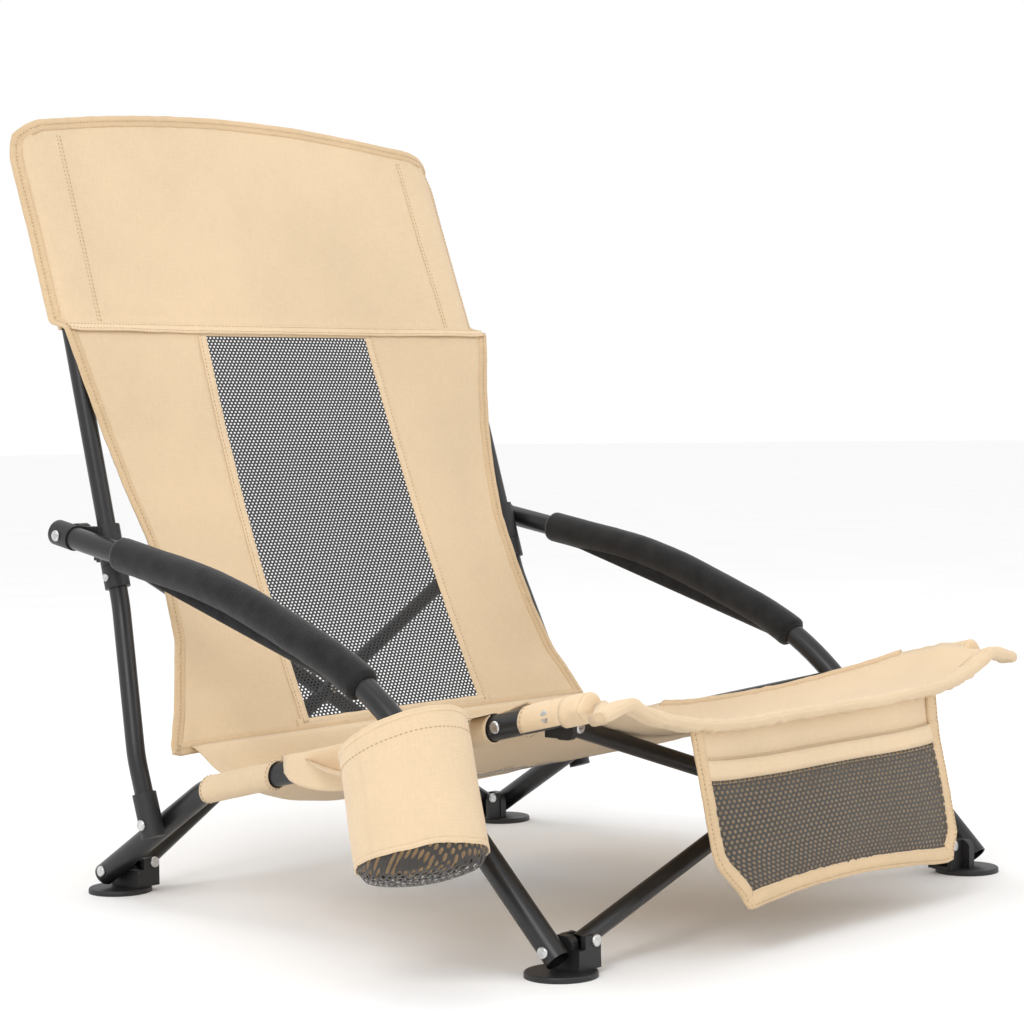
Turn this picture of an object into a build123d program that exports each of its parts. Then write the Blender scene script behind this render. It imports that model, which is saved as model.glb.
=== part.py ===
from build123d import *
import math
import os

# Low folding camp chair. Millimetres, +Z up, the sitter faces -Y and +X is the sitter's left.
# Layout numbers are given about the middle of the four feet and written out moved by ORIGIN_SHIFT,
# which puts the origin under the centre of the whole chair with its cup holder.
ORIGIN_SHIFT = (60.75, -37.7, 0.0)

# frame tubes: outside radius and wall
SIDE_R, POST_R, BRACE_R, WALL = 11.0, 9.0, 8.0, 1.2
GAP = 0.4            # room between pieces of two bodies that lie face to face
PIN_R = 3.0          # rivet shank
PIN_CLEAR = 0.05     # running clearance of a rivet in a moving tube
HEAD_R, HEAD_H = 5.4, 2.0
HEAD_GAP = 0.1       # under a rivet head that lies on another body's tube
LEAN_GAP = 0.6       # the same where that tube leans past the head
BITE = 0.5           # how far blocks of one piece reach into each other

# side planes, as distances from the middle plane
RAIL_X, LEG_X, ARM_X = 288.0, 316.5, 311.0
# feet
FOOT_R, FOOT_H, FOOT_IN = 31.0, 5.0, 9.0
TOWER_TOP, TOWER_T, TOWER_W = 33.0, 8.6, 24.0
FORK_T, FORK_L, FORK_GAP = 4.5, 19.0, 1.0
DISC_ROUND, TOWER_ROUND, FORK_ROUND = 2.0, 8.0, 7.0
FORK_FLOOR, WEB_TOP = 3.0, 22.0
PIN_Z, BRACE_Z = 22.0, 28.0
REAR_Y, FRONT_Y = 306.0, -297.0
REAR_DISC_Y, FRONT_DISC_Y = 302.0, -299.0
TUBE_END = 10.0      # tube past its pin
BRACE_PIN_IN = 13.0  # brace pin from the tower wall
# side rail
BEND_Y, BEND_Z, BEND_RAD = 160.0, 113.0, 70.0
TIP_Y = -314.0
RAIL_SLOPE = 0.2257
HUB_Y = -279.0
RAIL_RIVET_YS = (26.0, -222.0)
PLUG_IN, PLUG_LIP = 14.0, 3.0
SLEEVE_SPANS = ((152.0, 62.0), (-298.0, -312.0))
SLEEVE_CLOTH_IN, SLEEVE_CLOTH_OUT = 0.2, 2.4   # past the rail's radius
# hub under the rail
HUB_T, HUB_HALF, HUB_RISE, HUB_ROUND = 5.6, 10.0, 9.0, 6.0
TONGUE_T, TONGUE_HALF, TONGUE_LOW, TONGUE_HIGH = 5.0, 8.0, 8.0, 4.0
# back post
PIVOT_Y, PIVOT_Z, PIVOT_X = 215.0, 78.7, 311.0
SLIDE_X, SLIDE_Y, SLIDE_Z = 285.5, 297.0, 340.0
SLIDE_DIR = (-4.5, 62.0, 226.0)
TOP_X, TOP_Y, TOP_Z = 275.0, 424.0, 748.0
SLEEVE_R, SCREW_R = 12.5, 2.5
KNEE_Y, KNEE_Z, POST_END = 234.0, 140.0, 8.0
POST_LOW, POST_HIGH = 57.0, 222.0        # straight run below and above the collar
POST_BENDS = (160.0, 160.0, 300.0)
CAP_LOW, CAP_HIGH = 13.0, 30.0
STOP_LOW, STOP_HIGH, STOP_SCREW = 41.0, 19.4, 30.0
SCREW_L, SCREW_HEAD_R, SCREW_HEAD_H = 20.0, 4.0, 1.6
COLLAR_LOW, COLLAR_HIGH, COLLAR_SLIP = 19.0, 21.0, 0.08
LUG_LOW, LUG_HIGH, LUG_R = 14.0, 8.0, 11.0
COLLAR_TONGUE_T, COLLAR_TONGUE_LOW, COLLAR_TONGUE_HIGH = 6.0, 3.0, 20.0
LINK_X0, LINK_X1, LINK_LOW = 13.0, 1.0, 1.0
# braces
REAR_BRACE_X, REAR_TOP_X, REAR_TOP_Z = 255.0, 258.0, 327.0
REAR_BRACE_Y, BRACE_HALF = 300.0, 8.5
FRONT_BRACE_Y, FRONT_LOW_Y = -280.0, -295.0
COLLAR_GAP = 2.0     # rear brace top to its collar lug
FRONT_TOP_X, FRONT_TOP_DROP = 257.0, 13.0
BRACE_END = 8.0      # tube past its pin
# arm
ARM_END_Y, ARM_END_Z = 333.0, 352.0
ELBOW_Y, ELBOW_Z, WRIST_Y, WRIST_Z = -92.0, 230.0, 96.0, 306.0
ARM_BENDS = (330.0, 560.0)
ARM_TAIL, ARM_CAP_IN, ARM_CAP_OUT, ARM_CAP_T = 9.0, 24.0, 4.0, 1.6
ARM_PIN_OUT = 2.0
GRIP_R, GRIP_SLIP = 16.5, 0.05
GRIP_FROM_Y, GRIP_TO_Y = -84.0, 248.0
# cloth
SEAT_HALF, SEAT_RISE, SEAT_SAG, SEAT_T, SEAT_STEPS = 267.0, 8.0, 34.0, 3.0, 12
SEAT_Y0, SEAT_Y1 = 148.0, -338.0
BACK_HALF, BACK_T = 266.0, 3.0
BACK_LINE = ((186.0, 146.0), (268.0, 352.0), (334.0, 556.0), (407.0, 762.0))
CUP_X, CUP_Y, CUP_Z, CUP_H, CUP_LEAN = -404.0, -238.0, 95.0, 106.0, 12.7
CUP_R_TOP, CUP_R_BOTTOM, CUP_WALL = 57.0, 54.0, 2.0
FLAP_X, FLAP_T, FLAP_DROP = 346.0, 2.0, 30.0
STRAP_YS = ((-12.0, -32.0), (-190.0, -212.0))
LOOP_IN, LOOP_OUT = 11.2, 13.3
POCKET_X0, POCKET_X1, POCKET_Y, POCKET_TOP, POCKET_BOTTOM = -183.0, 169.0, -346.0, 182.0, 34.0
POCKET_DEPTH, POCKET_SHEET, POCKET_LIP = 12.0, 2.0, 24.0


def rail_z(y):
    """Height of the side rail's straight upper run."""
    return BEND_Z + (BEND_Y - y) * RAIL_SLOPE


def rounded_path(points, radii):
    """Straight runs joined by tangent arcs; one radius for each inner point."""
    pts = [Vector(*p) for p in points]
    edges = []
    start = pts[0]
    for i, rad in enumerate(radii):
        corner = pts[i + 1]
        d1 = (corner - pts[i]).normalized()
        d2 = (pts[i + 2] - corner).normalized()
        half = math.acos(max(-1.0, min(1.0, d1.dot(d2)))) / 2.0
        run = rad * math.tan(half)
        a = corner - d1 * run
        b = corner + d2 * run
        mid = corner + (d2 - d1).normalized() * (rad / math.cos(half) - rad)
        edges.append(Line(start, a))
        edges.append(ThreePointArc(a, mid, b))
        start = b
    edges.append(Line(start, pts[-1]))
    return Wire(edges)


def ring_sweep(path, r_out, r_in):
    """Hollow round section along a path."""
    plane = Plane(origin=path @ 0, z_dir=path % 0)
    ring = plane * (Circle(r_out) - Circle(r_in))
    return sweep(ring, path=path)


def tube(points, radii, r_out, wall=WALL):
    return ring_sweep(rounded_path(points, radii), r_out, r_out - wall)


def bar(p0, p1, r):
    """Solid round bar from p0 to p1."""
    a, b = Vector(*p0), Vector(*p1)
    d = b - a
    return Plane(origin=a, z_dir=d) * Cylinder(r, d.length, align=(Align.CENTER, Align.CENTER, Align.MIN))


def box(x0, x1, y0, y1, z0, z1):
    dx, dy, dz = abs(x1 - x0), abs(y1 - y0), abs(z1 - z0)
    return Pos((x0 + x1) / 2, (y0 + y1) / 2, (z0 + z1) / 2) * Box(dx, dy, dz)


def along(p, d, length):
    v = Vector(*d).normalized() * length
    return (p[0] + v.X, p[1] + v.Y, p[2] + v.Z)


def dome(p, d, r=HEAD_R, h=HEAD_H):
    """Rivet head standing on p and facing d."""
    head = Cylinder(r, h, align=(Align.CENTER, Align.CENTER, Align.MIN))
    head = fillet(head.edges().sort_by(Axis.Z)[-1], h * 0.8)
    return Plane(origin=Vector(*p), z_dir=Vector(*d)) * head


def hinge_foot(side, foot_y, disc_y, plane_x, brace_y):
    """Round foot with a wall for the side tube and a fork for the crossing brace."""
    wall_out = plane_x - SIDE_R - GAP
    wall_in = wall_out - TOWER_T
    disc_x = side * (plane_x - FOOT_IN)
    disc = Pos(disc_x, disc_y, FOOT_H / 2) * Cylinder(FOOT_R, FOOT_H)
    disc = fillet(disc.edges().filter_by(GeomType.CIRCLE).sort_by(Axis.Z)[-1], DISC_ROUND)
    y0, y1 = foot_y - TOWER_W / 2, foot_y + TOWER_W / 2
    tower = box(side * wall_in, side * wall_out, y0, y1, FOOT_H, TOWER_TOP)
    tower = fillet(tower.edges().filter_by(Axis.X).sort_by(Axis.Z)[-2:], TOWER_ROUND)
    fork_in = wall_in - FORK_L
    inner = BRACE_R + FORK_GAP
    fork_x = side * (wall_in + BITE)
    y_low, y_high = brace_y - inner - FORK_T, brace_y + inner + FORK_T
    walls = []
    for y0, y1 in ((y_low, brace_y - inner), (brace_y + inner, y_high)):
        wall = box(side * fork_in, fork_x, y0, y1, FOOT_H, TOWER_TOP)
        top_edges = wall.edges().filter_by(Axis.Y).sort_by(Axis.Z)[-2:]
        walls.append(fillet(top_edges.sort_by(Axis.X)[-1 if side < 0 else 0], FORK_ROUND))
    floor_top = FOOT_H + FORK_FLOOR
    floor = box(side * fork_in, fork_x, brace_y - inner, brace_y + inner, FOOT_H - BITE, floor_top)
    low = min(y_low, foot_y - TOWER_W / 2)
    high = max(y_high, foot_y + TOWER_W / 2)
    web = box(side * wall_in, side * wall_out, low, high, FOOT_H - BITE, WEB_TOP)
    foot = disc + tower + walls[0] + walls[1] + floor + web
    brace_x = wall_in - BRACE_PIN_IN
    out_end = (side * (plane_x + SIDE_R + HEAD_GAP), foot_y, PIN_Z)
    shank_x = bar((side * wall_in, foot_y, PIN_Z), out_end, PIN_R)
    low_end = (side * brace_x, y_low, BRACE_Z)
    high_end = (side * brace_x, y_high, BRACE_Z)
    shank_y = bar(low_end, high_end, PIN_R)
    foot = foot - shank_x - shank_y
    side_pin = shank_x + dome(out_end, (side, 0, 0))
    brace_pin = shank_y + dome(low_end, (0, -1, 0)) + dome(high_end, (0, 1, 0))
    return foot, [side_pin, brace_pin], side * brace_x


def rail_points(side):
    down = (0, REAR_Y - BEND_Y, PIN_Z - BEND_Z)
    start = along((side * RAIL_X, REAR_Y, PIN_Z), down, TUBE_END)
    return [start, (side * RAIL_X, BEND_Y, BEND_Z), (side * RAIL_X, TIP_Y, rail_z(TIP_Y))]


def cross_hole(shape, side, x0, x1, y, z, r):
    return shape - bar((side * x0, y, z), (side * x1, y, z), r)


def side_rail(side):
    """Bent seat rail with its rivet holes, plug and plain rivets."""
    rail = tube(rail_points(side), [BEND_RAD], SIDE_R)
    lo, hi = RAIL_X - SIDE_R - 2, RAIL_X + SIDE_R + 2
    loose = PIN_R + PIN_CLEAR
    for y, z in ((REAR_Y, PIN_Z), (PIVOT_Y, PIVOT_Z), (HUB_Y, rail_z(HUB_Y))):
        rail = cross_hole(rail, side, lo, hi, y, z, loose)
    rivets = []
    for y in RAIL_RIVET_YS:
        z = rail_z(y)
        rail = cross_hole(rail, side, lo, hi, y, z, PIN_R)
        shank = bar((side * (RAIL_X - SIDE_R - 1), y, z), (side * (RAIL_X + SIDE_R), y, z), PIN_R)
        rivets.append(shank + dome((side * (RAIL_X + SIDE_R), y, z), (side, 0, 0)))
    tip = rail_points(side)[-1]
    fwd = (0, TIP_Y - BEND_Y, rail_z(TIP_Y) - BEND_Z)
    plug = bar(along(tip, fwd, -PLUG_IN), tip, SIDE_R - WALL) + bar(tip, along(tip, fwd, PLUG_LIP), SIDE_R)
    return rail, plug, rivets


def hub(side, brace_y):
    """Bracket under the rail's front that carries the top of a front brace."""
    z = rail_z(HUB_Y)
    face = RAIL_X - SIDE_R - GAP
    plate_in = face - HUB_T
    brace_z = z - FRONT_TOP_DROP
    inner = BRACE_R + GAP
    low, high = brace_z - HUB_RISE, z + HUB_RISE
    plate = box(side * plate_in, side * face, HUB_Y - HUB_HALF, HUB_Y + HUB_HALF, low, high)
    plate = fillet(plate.edges().filter_by(Axis.X), HUB_ROUND)
    tongue_y0 = brace_y + (inner if brace_y > HUB_Y else -inner - TONGUE_T)
    tongue_y1 = tongue_y0 + TONGUE_T
    low, high = brace_z - TONGUE_LOW, brace_z + TONGUE_HIGH
    tongue = box(side * (FRONT_TOP_X - TONGUE_HALF), side * plate_in, tongue_y0, tongue_y1, low, high)
    link = box(side * plate_in, side * face, min(tongue_y0, HUB_Y), max(tongue_y1, HUB_Y), low, high)
    body = plate + link + tongue
    pin_end = side * (RAIL_X + SIDE_R + HEAD_GAP)
    pin_x = bar((side * plate_in, HUB_Y, z), (pin_end, HUB_Y, z), PIN_R)
    pin_x_head = dome((pin_end, HUB_Y, z), (side, 0, 0))
    y0, y1 = brace_y - BRACE_R - LEAN_GAP, brace_y + BRACE_R + LEAN_GAP
    if brace_y > HUB_Y:
        y1 = tongue_y1
    else:
        y0 = tongue_y0
    end0 = (side * FRONT_TOP_X, y0, brace_z)
    end1 = (side * FRONT_TOP_X, y1, brace_z)
    pin_y = bar(end0, end1, PIN_R)
    heads = dome(end0, (0, -1, 0)) + dome(end1, (0, 1, 0))
    body = body - pin_x - pin_y
    return body, [pin_x + pin_x_head, pin_y + heads]


def brace(p0, p1, holes):
    """Straight crossing tube from pin p0 to pin p1, with pin holes along Y."""
    d = (p1[0] - p0[0], p1[1] - p0[1], p1[2] - p0[2])
    body = tube([along(p0, d, -BRACE_END), along(p1, d, BRACE_END)], [], BRACE_R)
    for p, r in holes:
        body = body - bar((p[0], p[1] - BRACE_R - 2, p[2]), (p[0], p[1] + BRACE_R + 2, p[2]), r)
    return body


def xyz(v):
    return (v.X, v.Y, v.Z)


def post_points(side):
    """Post centre line, its direction through the collar, collar centre and lower pivot."""
    p = Vector(side * PIVOT_X, PIVOT_Y, PIVOT_Z)
    u = Vector(side * SLIDE_DIR[0], SLIDE_DIR[1], SLIDE_DIR[2]).normalized()
    c = Vector(side * SLIDE_X, SLIDE_Y, SLIDE_Z)
    low = c - u * POST_LOW
    high = c + u * POST_HIGH
    knee = Vector(side * PIVOT_X, KNEE_Y, KNEE_Z)
    start = p - (knee - p).normalized() * POST_END
    return [start, knee, low, high, Vector(side * TOP_X, TOP_Y, TOP_Z)], u, c, p


def back_post(side):
    pts, u, c, p = post_points(side)
    post = tube([xyz(v) for v in pts], POST_BENDS, POST_R)
    d = (pts[1] - p).normalized()
    loose_x0, loose_x1 = PIVOT_X - 14, PIVOT_X + 14
    post = cross_hole(post, side, loose_x0, loose_x1, PIVOT_Y, PIVOT_Z, PIN_R)
    cap_r = PIVOT_X - RAIL_X - SIDE_R - GAP
    cap = bar(xyz(p - d * CAP_LOW), xyz(p + d * CAP_HIGH), cap_r)
    cap = cap - bar(xyz(p - d * POST_END), xyz(p + d * (CAP_HIGH + 10)), POST_R)
    cap = cross_hole(cap, side, loose_x0, loose_x1, PIVOT_Y, PIVOT_Z, PIN_R)
    in_x, out_x = side * (RAIL_X - SIDE_R - HEAD_GAP), side * (PIVOT_X + cap_r)
    pin = bar((in_x, PIVOT_Y, PIVOT_Z), (out_x, PIVOT_Y, PIVOT_Z), PIN_R)
    pin = pin + dome((out_x, PIVOT_Y, PIVOT_Z), (side, 0, 0))
    pin = pin + dome((in_x, PIVOT_Y, PIVOT_Z), (-side, 0, 0))
    s0, s1 = xyz(c - u * STOP_LOW), xyz(c - u * STOP_HIGH)
    stop = bar(s0, s1, SLEEVE_R) - bar(s0, s1, POST_R)
    hold = c - u * STOP_SCREW
    hold_x = abs(hold.X) + SLEEVE_R + HEAD_GAP
    screw_end = (side * hold_x, hold.Y, hold.Z)
    screw = bar((side * (hold_x - SCREW_L), hold.Y, hold.Z), screw_end, SCREW_R)
    post = post - screw
    stop = stop - screw
    screw = screw + dome(screw_end, (side, 0, 0), SCREW_HEAD_R, SCREW_HEAD_H)
    top = pts[-1]
    dt = (pts[-1] - pts[-2]).normalized()
    plug = bar(xyz(top - dt * PLUG_IN), xyz(top), POST_R - WALL)
    plug = plug + bar(xyz(top), xyz(top + dt * PLUG_LIP), POST_R)
    return post, cap, stop, plug, [pin, screw]


def slide_collar(side, brace_y):
    """Sleeve that runs on the post, with an arm lug behind and a brace lug inside."""
    u, c = post_points(side)[1:3]
    sleeve = bar(xyz(c - u * COLLAR_LOW), xyz(c + u * COLLAR_HIGH), SLEEVE_R)
    lug_in, lug_out = side * (SLIDE_X + 1), side * (ARM_X - SIDE_R - GAP)
    lug = box(lug_in, lug_out, c.Y, ARM_END_Y, ARM_END_Z - LUG_LOW, ARM_END_Z + LUG_HIGH)
    lug = lug + bar((lug_in, ARM_END_Y, ARM_END_Z), (lug_out, ARM_END_Y, ARM_END_Z), LUG_R)
    y0 = brace_y + BRACE_R + COLLAR_GAP
    y1 = y0 + COLLAR_TONGUE_T
    low, high = REAR_TOP_Z - COLLAR_TONGUE_LOW, REAR_TOP_Z + COLLAR_TONGUE_HIGH
    tongue = box(side * (REAR_TOP_X - 9), side * (SLIDE_X - 4), y0, y1, low, high)
    link_in, link_out = side * (SLIDE_X - LINK_X0), side * (SLIDE_X - LINK_X1)
    link = box(link_in, link_out, SLIDE_Y + 2, y1, REAR_TOP_Z - LINK_LOW, high)
    body = sleeve + lug + tongue + link
    bore = bar(xyz(c - u * 2 * COLLAR_HIGH), xyz(c + u * 2 * COLLAR_HIGH), POST_R + COLLAR_SLIP)
    return body - bore


def leg_points(side):
    first = (side * LEG_X, FRONT_Y, PIN_Z)
    v1 = (side * LEG_X, ELBOW_Y, ELBOW_Z)
    v2 = (side * LEG_X, WRIST_Y, WRIST_Z)
    end = (side * ARM_X, ARM_END_Y, ARM_END_Z)
    up = (0, v1[1] - first[1], v1[2] - first[2])
    back = (end[0] - v2[0], end[1] - v2[1], end[2] - v2[2])
    return [along(first, up, -TUBE_END), v1, v2, along(end, back, ARM_TAIL)]


def arm_leg(side):
    """Front leg and arm rest bent from one tube, with foam grip and end cap."""
    pts = leg_points(side)
    path = rounded_path(pts, ARM_BENDS)
    leg = ring_sweep(path, SIDE_R, SIDE_R - WALL)
    leg = cross_hole(leg, side, LEG_X - 13, LEG_X + 13, FRONT_Y, PIN_Z, PIN_R + PIN_CLEAR)
    end = pts[-1]
    back = Vector(end[0] - pts[-2][0], end[1] - pts[-2][1], end[2] - pts[-2][2]).normalized()
    e = Vector(*end)
    cap_low, cap_high = xyz(e - back * ARM_CAP_IN), xyz(e + back * ARM_CAP_OUT)
    cap = bar(cap_low, cap_high, SIDE_R + ARM_CAP_T) - bar(cap_low, xyz(e), SIDE_R)
    face = side * (ARM_X - SIDE_R)
    flat = box(face - side * 6, face, e.Y - 40, e.Y + 20, e.Z - 30, e.Z + 30)
    cap = cap - flat
    pin_end = (side * (ARM_X + SIDE_R + ARM_PIN_OUT), ARM_END_Y, ARM_END_Z)
    shank = bar((face, ARM_END_Y, ARM_END_Z), pin_end, PIN_R)
    leg = leg - shank
    cap = cap - shank
    pin = shank + dome(pin_end, (side, 0, 0))
    grip_path = trimmed_path(path, GRIP_FROM_Y, GRIP_TO_Y)
    grip = ring_sweep(grip_path, GRIP_R, SIDE_R + GRIP_SLIP)
    return leg, grip, cap, pin


def trimmed_path(path, y0, y1):
    """The part of a path between two Y stations."""
    def station(y):
        lo, hi = 0.0, 1.0
        for _ in range(50):
            mid = (lo + hi) / 2
            if (path @ mid).Y < y:
                lo = mid
            else:
                hi = mid
        return (lo + hi) / 2
    return path.trim(station(y0), station(y1))


def seat_panel():
    """Sagging seat cloth between the rails."""
    top = []
    for i in range(SEAT_STEPS + 1):
        x = -SEAT_HALF + 2 * SEAT_HALF * i / SEAT_STEPS
        dip = (SEAT_SAG + SEAT_RISE) * (1 - (x / SEAT_HALF) ** 2)
        top.append((x, SEAT_Y0, rail_z(SEAT_Y0) + SEAT_RISE - dip))
    under = [(x, y, z - SEAT_T) for x, y, z in reversed(top)]
    face = make_face(Polyline(top + under, close=True))
    run = Vector(0, SEAT_Y1 - SEAT_Y0, rail_z(SEAT_Y1) - rail_z(SEAT_Y0))
    return extrude(face, amount=run.length, dir=run.normalized())


def rail_sleeves(side):
    """Hems of the seat that wrap the rail behind and ahead of the bare middle."""
    out = []
    for y0, y1 in SLEEVE_SPANS:
        a = (side * RAIL_X, y0, rail_z(y0))
        b = (side * RAIL_X, y1, rail_z(y1))
        out.append(bar(a, b, SIDE_R + SLEEVE_CLOTH_OUT) - bar(a, b, SIDE_R + SLEEVE_CLOTH_IN))
    return out


def back_panel():
    """High back cloth in front of the posts."""
    front = [(-BACK_HALF, y, z) for y, z in BACK_LINE]
    rear = [(x, y + BACK_T, z) for x, y, z in reversed(front)]
    return extrude(make_face(Polyline(front + rear, close=True)), amount=2 * BACK_HALF, dir=(1, 0, 0))


def sloped_slab(x0, x1, y0, y1, low, high):
    """Slab that follows the rail's slope, from low to high above the rail's axis."""
    pts = [(x0, y0, rail_z(y0) + low), (x0, y1, rail_z(y1) + low)]
    pts += [(x0, y1, rail_z(y1) + high), (x0, y0, rail_z(y0) + high)]
    way = (1 if x1 > x0 else -1, 0, 0)
    return extrude(make_face(Polyline(pts, close=True)), amount=abs(x1 - x0), dir=way)


def cup_holder():
    """Cloth cup holder, open at the top, on a flap with two loops round the right rail."""
    lean = math.radians(CUP_LEAN)
    axis = (0, math.sin(lean), math.cos(lean))
    base = (CUP_X, CUP_Y, CUP_Z)
    plane = Plane(origin=base, z_dir=axis)
    low = (Align.CENTER, Align.CENTER, Align.MIN)
    outer = plane * Cone(CUP_R_BOTTOM, CUP_R_TOP, CUP_H, align=low)
    hollow = Plane(origin=along(base, axis, CUP_WALL), z_dir=axis)
    inner = hollow * Cone(CUP_R_BOTTOM - CUP_WALL, CUP_R_TOP - CUP_WALL, CUP_H, align=low)
    back_y, front_y = STRAP_YS[0][0], STRAP_YS[1][1]
    body = outer + sloped_slab(-FLAP_X - FLAP_T, -FLAP_X, back_y, front_y, -FLAP_DROP, LOOP_OUT)
    for y0, y1 in STRAP_YS:
        a = (-RAIL_X, y0, rail_z(y0))
        b = (-RAIL_X, y1, rail_z(y1))
        strap = sloped_slab(-RAIL_X, -FLAP_X - FLAP_T, y0, y1, LOOP_IN, LOOP_OUT)
        bore = bar(along(a, (0, 1, -RAIL_SLOPE), 3), along(b, (0, -1, RAIL_SLOPE), 3), LOOP_IN)
        body = body + bar(a, b, LOOP_OUT) + strap - bore
    return body - inner


def front_pocket():
    """Flat cloth pocket that hangs from the seat's front edge, open at the top."""
    t, front = POCKET_SHEET, POCKET_Y - POCKET_DEPTH
    lip = POCKET_TOP - POCKET_LIP
    back = box(POCKET_X0, POCKET_X1, POCKET_Y, POCKET_Y + t, POCKET_BOTTOM, POCKET_TOP)
    face = box(POCKET_X0, POCKET_X1, front, front + t, POCKET_BOTTOM, lip)
    right = box(POCKET_X0, POCKET_X0 + t, front, POCKET_Y + t, POCKET_BOTTOM, lip)
    left = box(POCKET_X1 - t, POCKET_X1, front, POCKET_Y + t, POCKET_BOTTOM, lip)
    low = box(POCKET_X0, POCKET_X1, front, POCKET_Y + t, POCKET_BOTTOM, POCKET_BOTTOM + t)
    return back + face + left + right + low


def save(name, shapes):
    group = shapes if isinstance(shapes, list) else [shapes]
    solids = [s for shape in group for s in shape.solids()]
    moved = [Pos(*ORIGIN_SHIFT) * s for s in solids]
    part = moved[0] if len(moved) == 1 else Compound(moved)
    part.label = name
    export_step(part, f"parts/{name}.step")


def main():
    os.makedirs("parts", exist_ok=True)
    names = {-1: "right", 1: "left"}
    for side in (-1, 1):
        tag = names[side]
        rear_brace_y = REAR_BRACE_Y + (-BRACE_HALF if side < 0 else BRACE_HALF)
        front_brace_y = FRONT_BRACE_Y + (-BRACE_HALF if side < 0 else BRACE_HALF)
        front_low_y = FRONT_LOW_Y + (-BRACE_HALF if side < 0 else BRACE_HALF)
        top_rear_y = REAR_BRACE_Y + (BRACE_HALF if side < 0 else -BRACE_HALF)
        top_front_y = FRONT_BRACE_Y + (BRACE_HALF if side < 0 else -BRACE_HALF)
        foot, pins, rear_x = hinge_foot(side, REAR_Y, REAR_DISC_Y, RAIL_X, rear_brace_y)
        save(f"foot_rear_{tag}", foot)
        save(f"foot_rivets_rear_{tag}", pins)
        foot, pins, front_x = hinge_foot(side, FRONT_Y, FRONT_DISC_Y, LEG_X, front_low_y)
        save(f"foot_front_{tag}", foot)
        save(f"foot_rivets_front_{tag}", pins)
        rail, plug, rivets = side_rail(side)
        save(f"seat_rail_{tag}", rail)
        save(f"rail_plug_{tag}", plug)
        save(f"rail_rivets_{tag}", rivets)
        save(f"rail_sleeves_{tag}", rail_sleeves(side))
        body, pins = hub(side, top_front_y)
        save(f"hub_{tag}", body)
        save(f"hub_rivets_{tag}", pins)
        post, cap, stop, plug, pins = back_post(side)
        save(f"back_post_{tag}", post)
        save(f"post_cap_{tag}", cap)
        save(f"stop_collar_{tag}", stop)
        save(f"post_plug_{tag}", plug)
        save(f"post_rivets_{tag}", pins)
        save(f"slide_collar_{tag}", slide_collar(side, top_rear_y))
        leg, grip, cap, pin = arm_leg(side)
        save(f"arm_leg_{tag}", leg)
        save(f"foam_grip_{tag}", grip)
        save(f"arm_cap_{tag}", cap)
        save(f"arm_rivet_{tag}", pin)
        # braces are named for the side of their lower end
        low = (rear_x, rear_brace_y, BRACE_Z)
        high = (-side * REAR_TOP_X, rear_brace_y, REAR_TOP_Z)
        frac = abs(rear_x) / (abs(rear_x) + REAR_TOP_X)
        mid_z = BRACE_Z + (REAR_TOP_Z - BRACE_Z) * frac
        mid = (0.0, rear_brace_y, mid_z)
        loose = PIN_R + PIN_CLEAR
        holes = [(low, loose), (mid, PIN_R if side < 0 else loose), (high, PIN_R)]
        save(f"rear_brace_{tag}", brace(low, high, holes))
        front_face = (high[0], high[1] - BRACE_R - HEAD_GAP, high[2])
        top_pin = bar(front_face, (high[0], high[1] + BRACE_R, high[2]), PIN_R)
        save(f"rear_top_rivet_{tag}", top_pin + dome(front_face, (0, -1, 0)))
        low = (front_x, front_low_y, BRACE_Z)
        high = (-side * FRONT_TOP_X, front_brace_y, rail_z(HUB_Y) - FRONT_TOP_DROP)
        front_frac = abs(front_x) / (abs(front_x) + FRONT_TOP_X)
        front_mid_z = BRACE_Z + (high[2] - BRACE_Z) * front_frac
        cross_y = front_low_y + (front_brace_y - front_low_y) * front_frac
        fmid = (0.0, cross_y, front_mid_z)
        save(f"front_brace_{tag}", brace(low, high, [(low, loose), (high, loose), (fmid, PIN_R)]))
        # half of the front crossing rivet rides each front brace
        out = -1 if side < 0 else 1
        y_out = cross_y + out * (BRACE_R + HEAD_GAP)
        y_in = cross_y - out * (BRACE_R - 0.2)
        half = bar((0, y_in, front_mid_z), (0, y_out, front_mid_z), PIN_R)
        save(f"front_cross_rivet_{tag}", half + dome((0, y_out, front_mid_z), (0, out, 0)))
    y_lo = REAR_BRACE_Y - BRACE_HALF - BRACE_R - HEAD_GAP
    y_hi = REAR_BRACE_Y + BRACE_HALF + BRACE_R + HEAD_GAP
    pin = bar((0, y_lo, mid_z), (0, y_hi, mid_z), PIN_R)
    pin = pin + dome((0, y_lo, mid_z), (0, -1, 0)) + dome((0, y_hi, mid_z), (0, 1, 0))
    save("rear_cross_rivet", pin)
    save("seat_panel", seat_panel())
    save("back_panel", back_panel())
    save("cup_holder", cup_holder())
    save("front_pocket", front_pocket())


main()
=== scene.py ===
import math
import bpy
import numpy as np
from mathutils import Matrix, Vector, noise

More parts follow.
